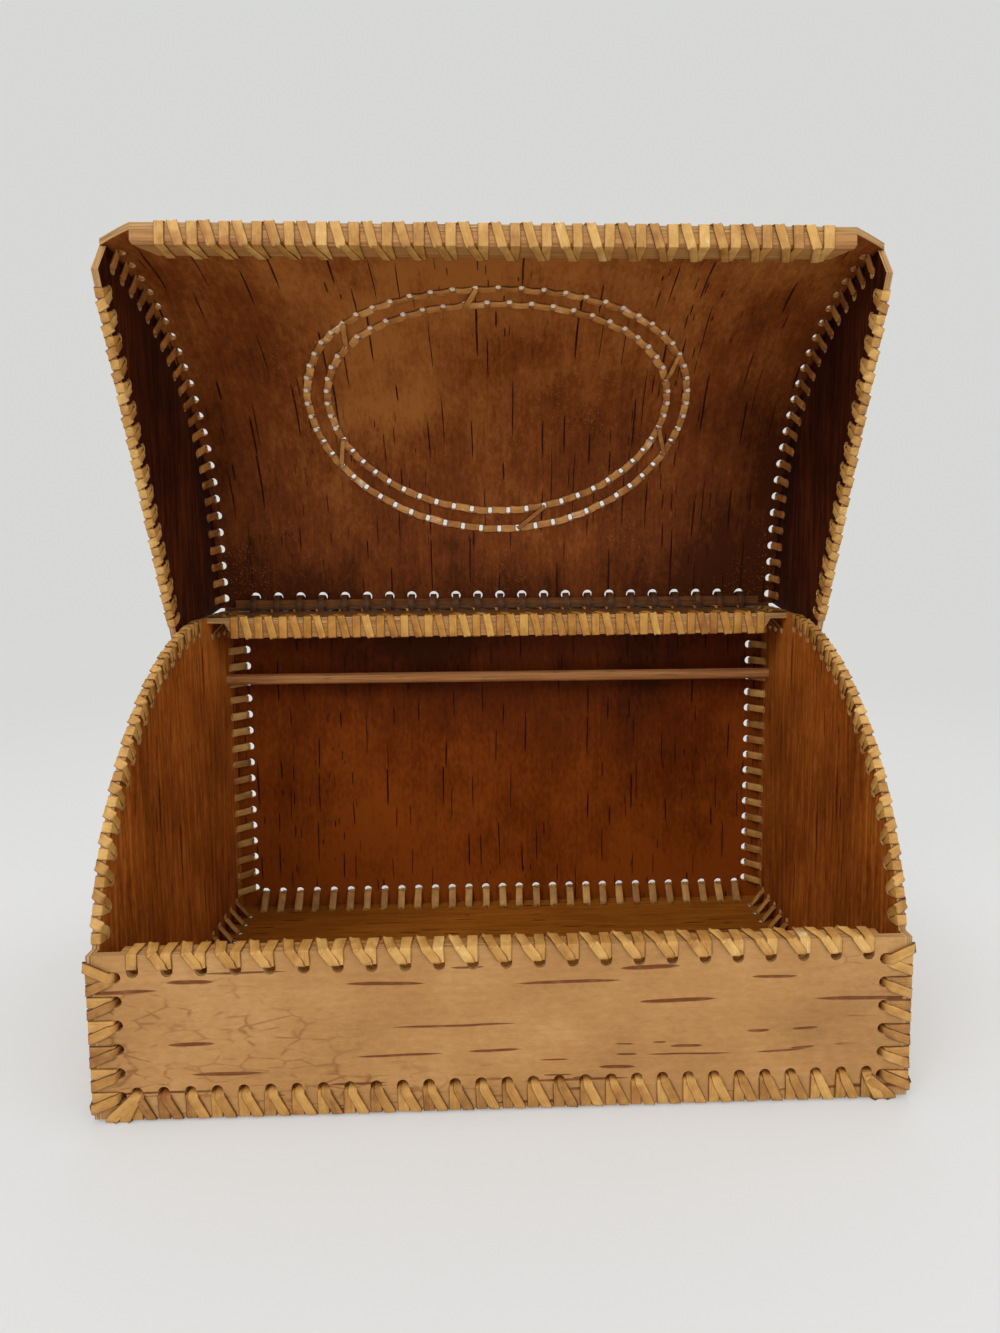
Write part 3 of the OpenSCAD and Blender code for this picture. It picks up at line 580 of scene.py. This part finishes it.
def corner_path(ta, tb, inset_a, inset_b):
    h, a, b = LACE_T / 2, inset_a + SLACK, inset_b + SLACK
    return [Vector((0, y, z)) for y, z in
            ((-h, -h), (-h, a + h), (ta + h, a + h), (b + h, tb + h), (b + h, -h))]


def rim_path(thick, lath, height, inset):
    h, v = LACE_T / 2, inset + SLACK
    if not lath:
        return [Vector((0, y, z)) for y, z in
                ((-h, -h), (-h, v + h), (thick + h, v + h), (thick + h, -h))]
    return [Vector((0, y, z)) for y, z in
            ((-h, -h), (-h, v + h), (thick + h, v + h), (thick + lath + h, height + h),
             (thick + lath + h, -h))]


def corner_cross(pitch, ta, tb, inset_a, inset_b):
    h, a, b = LACE_T / 2, inset_a + SLACK, inset_b + SLACK
    lift = h + LACE_T
    return [Vector(p) for p in (
        (0.9, ta + h, a + 1.2), (0.9, h, a + 1.0), (1.3, -lift, a - 0.4), (pitch / 2, -h, h),
        (pitch / 2, -h, -h), (pitch / 2, h, -h), (pitch - 1.3, b - 0.4, -lift),
        (pitch - 0.9, b + 1.0, h), (pitch - 0.9, b + 1.2, tb + h))]


def corner_fan(ta, tb, inset_a, inset_b, reach):
    """A strip that leans out over the edge and comes back to its own hole."""
    h, a, b = LACE_T / 2, inset_a + SLACK, inset_b + SLACK
    lift = h + LACE_T
    return [Vector(p) for p in (
        (0, h, a + 1.0), (-0.3, -lift, a - 0.2), (-reach, -lift, h), (-reach - 0.6, -h, -lift),
        (-reach, h, -lift), (-0.3, b - 0.2, -lift), (0, b + 1.0, h), (0, b + 1.0, tb + h),
        (0, ta + h, a + 1.0))]


def rim_cross(pitch, thick, inset, back):
    h, v = LACE_T / 2, inset + SLACK
    lift = h + LACE_T
    return [Vector(p) for p in (
        (0.9, WALL / 2, v + 1.0), (0.9, h, v + 1.0), (1.3, -lift, v - 0.4),
        (pitch * 0.36, -h, h), (pitch * 0.4, -h * 0.6, -h),
        (pitch * 0.6, thick + h * 0.6, -h), (pitch * 0.64, thick + h, h),
        (pitch - 1.3, thick + lift, back - 0.6), (pitch - 0.9, thick - h, back + 0.6))]


print("a strip round a corner turns", len(corner_path(WALL, WALL, SEAM, SEAM)), "times")


# %% Sew one stitch in its place
def sew(mesh, run, place, path, closed, width=LACE_W, shade=0.0, thick=LACE_T):
    shift = Vector((jitter(0.25), 0, 0)) if closed else Vector()
    path = [place @ (p + shift + Vector((jitter(0.18), 0, 0))) for p in path]
    across = place.to_3x3() @ Vector((1, 0, 0))
    strip(mesh, run, path, across, width * (0.94 + 0.1 * dice.random()), thick, closed, shade)


def lacing(name, body, stitches, finish=golden_bast):
    mesh = bmesh.new()
    run = mesh.verts.layers.float_vector.new("run")
    for stitch in stitches:
        sew(mesh, run, *stitch)
    bmesh.ops.recalc_face_normals(mesh, faces=mesh.faces)
    for face in mesh.faces:
        face.smooth = True
    data = bpy.data.meshes.new("bast_" + name)
    mesh.to_mesh(data)
    mesh.free()
    data.set_sharp_from_angle(angle=math.radians(38))
    piece = bpy.data.objects.new("bast_" + name, data)
    bpy.context.scene.collection.objects.link(piece)
    data.materials.append(finish)
    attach(piece, body)
    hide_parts(name)
    print(name, len(stitches), "strips")


# %% [markdown]
# ## Places of the stitches
# The places are counted out as a maker would: the holes are spaced evenly and centred
# on the seam. A seam's place is written as moves, turns and flips, read from right to
# left, as in the CAD model. So one drawing of a stitch serves every seam of the box,
# and a mirrored seam needs no drawing of its own.

# %% Moves and holes
def move(x, y, z): return Matrix.Translation((x, y, z))
def turn(angle, axis): return Matrix.Rotation(math.radians(angle), 4, axis)
def flip(x=1, y=1, z=1): return Matrix.Diagonal((x, y, z, 1))


def places(length, pitch, spare):
    """Holes a pitch apart on a seam of this length, with at least spare left at its ends."""
    n = int((length - 2 * spare) // pitch)
    return [(i - n / 2) * pitch for i in range(n + 1)]


placed = move(0, -BOX_D / 2, 0)
floor_x = places(BOX_W, FLOOR_PITCH, 13)
floor_y = places(BOX_D, FLOOR_PITCH, 13)
front_z = [z + (FRONT_H + EDGE_Z) / 2 for z in places(FRONT_H - EDGE_Z, CORNER_PITCH, 8)]
back_z = [z + (BOX_H + EDGE_Z) / 2 for z in places(BOX_H - EDGE_Z, CORNER_PITCH, 13)]
rim_x = places(BOX_W, RIM_PITCH, 18)
shelf_y = [y + (CURVE_Y + BOX_D) / 2 for y in places(BOX_D - CURVE_Y, CORNER_PITCH, 9)]
curve_a = [s / SIDE_R * 180 / math.pi + 42
           for s in places(SIDE_R * 80 * math.pi / 180, CURVE_PITCH, 3)]


def turned(at):
    return [-u for u in reversed(at)]


print("holes along the floor:", len(floor_x), "and", len(floor_y))

# %% A seam round a corner
# The seams are drawn a little darker than the rims; on the lid's side seams this is part of their
# painted shade.
SEAM_SHADE = 0.3


def corner_seam(place, at, pitch, ta, tb, fans=()):
    """A straight strip at each hole and a slanting one between each two. Fans spread
    from the two end holes towards the ends of the seam."""
    path, slant = corner_path(ta, tb, SEAM, SEAM), corner_cross(pitch, ta, tb, SEAM, SEAM)
    stitches = [(place @ move(u, 0, 0), path, True, LACE_W, SEAM_SHADE) for u in at]
    stitches += [(place @ move(u, 0, 0), slant, False, SLANT_W, SEAM_SHADE) for u in at[:-1]]
    for reach in fans:
        fan = corner_fan(ta, tb, SEAM, SEAM, reach)
        stitches += [
            (place @ move(at[0], 0, 0), fan, True, SLANT_W, SEAM_SHADE),
            (place @ move(at[-1], 0, 0) @ flip(x=-1), fan, True, SLANT_W, SEAM_SHADE)]
    return stitches


print("a corner's seam has", len(corner_seam(placed, front_z, CORNER_PITCH, WALL, WALL)), "strips")

# %% Sew the floor and the corners
FLOOR_FANS, CORNER_FANS = (5.0, 10.5), (4.5,)


def floor_seam(name, place, at):
    lacing(name + "_floor_lacing", "box", corner_seam(
        place @ move(0, 0, EDGE_Z), at, FLOOR_PITCH, WALL, FLOOR_T, FLOOR_FANS))


floor_seam("front", placed, floor_x)
floor_seam("back", placed @ move(0, BOX_D, 0) @ flip(y=-1), floor_x)
for name, side in (("left", -1), ("right", 1)):
    floor_seam(name, move(side * BOX_W / 2, 0, 0) @ turn(side * 90, "Z"), floor_y)
    corner = move(-BOX_W / 2, 0, 0) @ turn(90, "Y")
    lacing("front_" + name + "_corner_lacing", "box", corner_seam(
        placed @ flip(x=-side) @ corner, turned(front_z), CORNER_PITCH, WALL, WALL, CORNER_FANS))
    lacing("back_" + name + "_corner_lacing", "box", corner_seam(
        placed @ flip(x=-side) @ move(0, BOX_D, 0) @ flip(y=-1) @ corner,
        turned(back_z), CORNER_PITCH, WALL, WALL, CORNER_FANS))

# %% Sew the rims of the box
LATH_REACH, RIM_SHADE = LATH_L / 2 - 3, -0.15
top_left_edge = flip(z=-1) @ turn(-90, "Z")


def rim_seam(place, at, lath, height, inset, reach=LATH_REACH, way=1, shade=0.0):
    """Past its reach the lath isn't bound in. The slanting strips lean one way, or the
    other where way is -1."""
    bound, free = (rim_path(WALL, t, height, inset) for t in (lath, 0))
    slant = rim_cross(RIM_PITCH, WALL + lath, inset, height)
    stitches = [(place @ move(u, 0, 0), bound if abs(u) < reach else free, True, LACE_W, shade)
                for u in at]
    stitches += [(place @ move(u, 0, 0) @ flip(x=way), slant, False, SLANT_W, shade)
                 for u in (at[:-1] if way > 0 else at[1:])]
    return stitches


lacing("front_rim_lacing", "box", rim_seam(
    placed @ move(0, 0, FRONT_H) @ flip(z=-1), rim_x, LATH_T, RIM_LATH_H, RIM, way=-1,
    shade=RIM_SHADE))
lacing("shelf_front_lacing", "box", rim_seam(
    placed @ move(0, CURVE_Y, BOX_H) @ turn(-90, "X"), rim_x, SHELF_LATH_H, LATH_T,
    LATH_T + 0.8), shelf_bast)
for name, side in (("left", -1), ("right", 1)):
    at_side = placed @ flip(x=-side)
    lacing("shelf_" + name + "_lacing", "box", corner_seam(
        at_side @ move(-BOX_W / 2, 0, BOX_H) @ top_left_edge, turned(shelf_y), CORNER_PITCH,
        WALL, WALL))
    middle = at_side @ move(-BOX_W / 2, CURVE_Y, CURVE_Z)
    half_step = CURVE_PITCH / SIDE_R * 90 / math.pi
    straight = rim_path(WALL, 0, 0, RIM)
    slant = rim_cross(CURVE_PITCH, WALL, RIM, RIM + LACE_T)
    stitches = [(middle @ turn(a, "X") @ move(0, 0, SIDE_R) @ top_left_edge,
                 straight, True, LACE_W) for a in curve_a]
    stitches += [(middle @ turn(a + half_step, "X") @ move(0, CURVE_PITCH / 2, SIDE_R)
                  @ top_left_edge, slant, False, SLANT_W) for a in curve_a[:-1]]
    lacing(name + "_rim_lacing", "box", stitches)

# %% [markdown]
# ## The laced hinge
# The lid has no metal hinge. The strips of the shelf's back seam rise in loops and
# pass through round holes near the lid's rear edge, and the lid turns in them. Each
# loop is a circle about the axis of the hinge, because that is the only shape which
# stays clear of its hole while the lid turns. The loops are painted dark, as painted
# shade under the lid's edge. One dark strand lies along the seam in front of the lid's
# edge and closes the gap under it: it is painted shade, a dark piece put where that gap
# lies in shade.

# %% Sew the hinge
# LOOP_SHADE and STRAND_SHADE paint the loops and the strand dark: painted shade.
LOOP_R, LOOP_W, LOOP_SHADE, HINGE_IN, HINGE_UP = 6.8, 3.8, 2.0, 4.5, 3.0
STRAND_W, STRAND_T, STRAND_SHADE, STRAND_IN, STRAND_UP = 2.5, 1.9, 1.2, 6.1, 1.4
loop = [Vector((0, LOOP_R * math.cos(math.radians(a)), LOOP_R * math.sin(math.radians(a))))
        for a in range(-20, 201, 20)]
drop = HINGE_UP + SEAM + 0.8 + LACE_T / 2
loop += [Vector((0, y, z)) for y, z in (
    (-6.0, -HINGE_UP - WALL - 0.3), (HINGE_IN - WALL, -drop), (HINGE_IN + 0.5, -drop))]
back_seam = placed @ move(0, BOX_D, BOX_H) @ flip(y=-1) @ flip(z=-1)
slant = corner_cross(RIM_PITCH, WALL, WALL, SEAM, SEAM)
stitches = [(placed @ move(x, AXIS_Y, AXIS_Z), loop, True, LOOP_W, LOOP_SHADE) for x in rim_x]
stitches += [(back_seam @ move(u, 0, 0), slant, False, SLANT_W) for u in rim_x[:-1]]
strand = [Vector((BOX_D - STRAND_IN + jitter(0.1), -x, BOX_H + STRAND_UP))
          for x in range(-BOX_W // 2, BOX_W // 2 + 1, 10)]
stitches += [(placed @ turn(90, "Z"), strand, False, STRAND_W, STRAND_SHADE, STRAND_T)]
lacing("hinge_lacing", "box", stitches)

# %% [markdown]
# ## The lid's lacing
# The lid is sewn closed in the CAD model and turned open about the hinge, and so are
# its stitches here. A place on the lid is given by its distance from the rear edge,
# first along the short straight stretch and then round the curve.

# %% Places on the lid
REAR_Y = AXIS_Y + 1.4
LID_FLAT = REAR_Y - CURVE_Y
LID_INSET, CHEEK_INSET, CHEEK_REAR, LID_PITCH, LAP = 4.6, 9.5, 76, 10.6, 0.3
lid_turn = math.degrees(math.acos((LID_EDGE_Z - CURVE_Z) / LID_R))
lid_length = LID_FLAT + LID_R * math.radians(lid_turn)
opened = (placed @ move(0, AXIS_Y, AXIS_Z) @ turn(-OPEN_BY, "X")
          @ move(0, -AXIS_Y, -AXIS_Z))
lid_s = [s + (lid_length - LID_BEVEL) / 2 for s in places(lid_length - LID_BEVEL, LID_PITCH, 6)]
lid_x = places(LATH_L, RIM_PITCH, 6)


def on_lid(s):
    if s < LID_FLAT:
        return move(0, REAR_Y - s, CURVE_Z + LID_R)
    return (move(0, CURVE_Y, CURVE_Z) @ turn(math.degrees((s - LID_FLAT) / LID_R), "X")
            @ move(0, 0, LID_R))


print("the lid is", round(lid_length), "mm long round its curve")

# %% Sew the lid's seams and rims
edge_y = CURVE_Y - LID_R * math.sin(math.radians(lid_turn))
cheek_rear_z = CURVE_Z + LID_R - CHEEK_REAR
slope = math.degrees(math.atan2(cheek_rear_z - LID_EDGE_Z, REAR_Y - edge_y))
cheek_edge = math.hypot(cheek_rear_z - LID_EDGE_Z, REAR_Y - edge_y)
cheek_s = [s + (cheek_edge + LID_BEVEL) / 2
           for s in places(cheek_edge - LID_BEVEL, LID_PITCH, 8)]
seam_straight = corner_path(WALL, WALL, CHEEK_INSET, LID_INSET)
seam_slant = corner_cross(LID_PITCH, WALL, WALL, CHEEK_INSET, LID_INSET)
rim_straight = rim_path(WALL, 0, 0, RIM)
rim_slant = rim_cross(LID_PITCH, WALL, RIM, RIM + LACE_T)

for name, side in (("left", -1), ("right", 1)):
    at_side = opened @ flip(x=-side)
    stitches = [(at_side @ on_lid(s) @ move(-LID_W / 2, 0, WALL) @ top_left_edge,
                 seam_straight, True, LACE_W, SEAM_SHADE) for s in lid_s]
    stitches += [(at_side @ on_lid(s + LID_PITCH / 2) @ move(-LID_W / 2, LID_PITCH / 2, WALL)
                  @ top_left_edge, seam_slant, False, SLANT_W, SEAM_SHADE) for s in lid_s[:-1]]
    # Painted shade: the dark tone of these strips is partly their own colour and partly painted
    # shade, as they lie in the shade inside the lid.
    lacing("lid_" + name + "_seam_lacing", "lid", stitches, dark_bast)
    rim = at_side @ move(-LID_W / 2, edge_y, LID_EDGE_Z) @ turn(slope, "X")
    stitches = [(rim @ move(0, s, 0) @ turn(-90, "Z"), rim_straight, True, LACE_W)
                for s in cheek_s]
    stitches += [(rim @ move(0, s, 0) @ turn(-90, "Z"), rim_slant, False, SLANT_W)
                 for s in cheek_s[1:]]
    lacing("lid_" + name + "_rim_lacing", "lid", stitches)

lid_rim = (opened @ on_lid(lid_length - LID_LATH_W / 2)
           @ move(0, -LID_LATH_W / 2 - SLACK, WALL) @ turn(-90, "X"))
lacing("lid_front_lacing", "lid", rim_seam(
    lid_rim, lid_x, LAP + LATH_T, LID_LATH_W, LID_LATH_W + 1.2 + LAP, LID_W))

# %% [markdown]
# ## The oval
# An oval sheet is sewn onto the outside of the lid with two rows of stitches. Inside,
# only the stitches show, with light in their holes. A row could be sewn flat and bent
# with the lid. Here each stitch gets a place of its own, on the straight line between
# two holes, so that it keeps its length and lies as flat as a real one.

# %% Stitches of the oval
OVAL_A, OVAL_B, OVAL_BAND, OVAL_FROM_REAR, OVAL_T = 111, 81, 11.5, 131, 1.2
OUTER_N, INNER_N = 60, 54
outer_axes = OVAL_A, OVAL_B, OUTER_N
inner_axes = OVAL_A - OVAL_BAND, OVAL_B - OVAL_BAND, INNER_N
OVAL_W, OVAL_NEAR, OVAL_SHIFT, OVAL_SHADE = 4.5, 1.5, -0.4, -0.2
GLINT_FROM, GLINT_W, GLINT_SHADE, CROSSING_W = -0.25, 2.6, -2.0, 2.8
CROSSINGS = ((4, 2), (16, 15), (23, 22), (35, 30), (46, 43), (56, 52))


def oval_at(a, b, n, i):
    angle = 2 * math.pi * i / n
    return a * math.cos(angle), OVAL_FROM_REAR + b * math.sin(angle)


def oval_frame(p, q):
    """A place at p on the lid, its -Y running to q."""
    run = math.hypot(q[0] - p[0], q[1] - p[1])
    facing = math.degrees(math.atan2(p[1] - q[1], q[0] - p[0]))
    return run, (opened @ on_lid((p[1] + q[1]) / 2) @ move((p[0] + q[0]) / 2, 0, 0)
                 @ turn(facing, "Z") @ move(-run / 2, 0, 0) @ turn(90, "Z"))


def oval_stitch(p, q):
    """The strip keeps to the near side of both holes, so that light falls through them."""
    run, place = oval_frame(p, q)
    over, near = WALL + LAP + OVAL_T + 0.5, OVAL_NEAR
    path = [Vector((OVAL_SHIFT + jitter(0.3), -along, up)) for along, up in (
        (near, over), (near, 0.4), (near + 0.4, -0.5), (run * 0.5, -0.8), (run - near - 0.4, -0.5),
        (run - near, 0.4), (run - near, over), (run * 0.5, over + 0.3))]
    return place, path, True, OVAL_W, OVAL_SHADE


def oval_row(a, b, n):
    return [oval_stitch(oval_at(a, b, n, i), oval_at(a, b, n, i + 1)) for i in range(n)]


def oval_glints(a, b, n):
    """Painted highlights: in the upper holes a short strip is painted in the palest tone,
    standing in for the light that shows in a hole.
    """
    glints = []
    for i in range(n):
        p, q = oval_at(a, b, n, i), oval_at(a, b, n, i + 1)
        if p[1] > OVAL_FROM_REAR + GLINT_FROM * b:
            place = oval_frame(p, q)[1]
            path = [Vector((0.5, -along, 0.25)) for along in (-1.2, 0.0, 1.2)]
            glints.append((place, path, False, GLINT_W, GLINT_SHADE))
    return glints


def oval_crossing(outer_i, inner_i):
    """A strand that lies on the inside, from the outer row to the inner one."""
    p, q = oval_at(*outer_axes, outer_i), oval_at(*inner_axes, inner_i)
    run, place = oval_frame(p, q)
    path = [Vector((0, -along, up)) for along, up in (
        (0, 1.5), (0.4, -1.2), (run * 0.3, -1.9), (run * 0.7, -1.9), (run - 0.4, -1.2), (run, 1.5))]
    return place, path, False, CROSSING_W


print("holes round the oval:", OUTER_N, "and", INNER_N)

# %% Sew the oval
outer_row = oval_row(*outer_axes)
outer_row += [oval_crossing(*ends) for ends in CROSSINGS]
outer_row += oval_glints(*outer_axes)
lacing("oval_outer_lacing", "lid", outer_row, dark_bast)
lacing("oval_inner_lacing", "lid", oval_row(*inner_axes) + oval_glints(*inner_axes), dark_bast)

# %% [markdown]
# ## Floor and light
# The box stands on a plain pale floor that bends up into a backdrop far behind it, so
# that no horizon shows. Three large soft lamps and an even sky light it: at this level
# a colour comes out about as it was written. For the camera alone, the floor and the
# backdrop glow a little in their own tone, more so far from the box.

# %% Floor and backdrop
STAGE_HALF, STAGE_FRONT, BEND_Y, BEND_R, STAGE_TOP = 6.0, -5.0, 2.4, 1.6, 6.0
PALE = srgb(217, 218, 215)

bend = [(BEND_Y + BEND_R * math.sin(math.radians(a)), BEND_R * (1 - math.cos(math.radians(a))))
        for a in range(0, 91, 6)]
profile = [(STAGE_FRONT, 0.0)] + bend + [(BEND_Y + BEND_R, STAGE_TOP)]
corners = [(x, y, z) for y, z in profile for x in (-STAGE_HALF, STAGE_HALF)]
strips = [(2 * i, 2 * i + 1, 2 * i + 3, 2 * i + 2) for i in range(len(profile) - 1)]
sheet = bpy.data.meshes.new("studio_floor")
sheet.from_pydata(corners, [], strips)
sheet.polygons.foreach_set("use_smooth", [True] * len(strips))
studio = bpy.data.objects.new("studio_floor", sheet)
bpy.context.scene.collection.objects.link(studio)

finish = Finish("studio_floor")
x, y, z = finish.axes()
haze = noise(vector(x * 0.8, y * 0.8, z * 0.8), detail=1) * 0.02 - 0.01
grey = finish.pen.node("CombineColor", sockets={i: haze + 0.78 for i in range(3)})
sheet.materials.append(finish.paint(grey, 0.85))
far = (x * x + y * y + z * z).maths("SQRT").fade(0.3, 1.5)
own = finish.pen.node("Emission", sockets={"Color": (*PALE, 1), "Strength": 1.0})
seen = finish.pen.node("LightPath", out="Is Camera Ray")
tree = finish.material.node_tree
lit = Field(tree, finish.shader.outputs["BSDF"])
both = finish.pen.node("MixShader", sockets={0: seen * (far * 0.55 + 0.4), 1: lit, 2: own})
tree.links.new(both.socket, tree.nodes["Material Output"].inputs["Surface"])

# %% Lamps and sky
def soft_lamp(name, place, aim, size, power):
    lamp = bpy.data.lights.new(name, "AREA")
    lamp.shape, lamp.size, lamp.size_y, lamp.energy = "RECTANGLE", size, size, power
    holder = bpy.data.objects.new(name, lamp)
    bpy.context.scene.collection.objects.link(holder)
    holder.location = place
    holder.rotation_euler = (Vector(aim) - Vector(place)).to_track_quat("-Z", "Y").to_euler()


soft_lamp("key_lamp", (-0.9, -1.3, 1.5), (0, 0, 0.2), 1.2, 16)
soft_lamp("fill_lamp", (1.2, -1.2, 0.8), (0, 0, 0.2), 1.4, 8)
soft_lamp("top_lamp", (0.1, 0.3, 1.7), (0, 0, 0.1), 1.2, 10)

world = bpy.data.worlds.new("studio_sky")
bpy.context.scene.world = world
world.use_nodes = True
sky = world.node_tree.nodes["Background"]
sky.inputs["Color"].default_value = (0.92, 0.92, 0.93, 1)
SKY, SKY_SEEN = 0.62, 0.13
seen = Field(world.node_tree, None).node("LightPath", out="Is Camera Ray")
world.node_tree.links.new((seen * SKY_SEEN + SKY).socket, sky.inputs["Strength"])
bpy.context.scene.view_settings.view_transform = "Standard"

# %% [markdown]
# ## At the end
# The dressed box has to fill the same space as the CAD model.
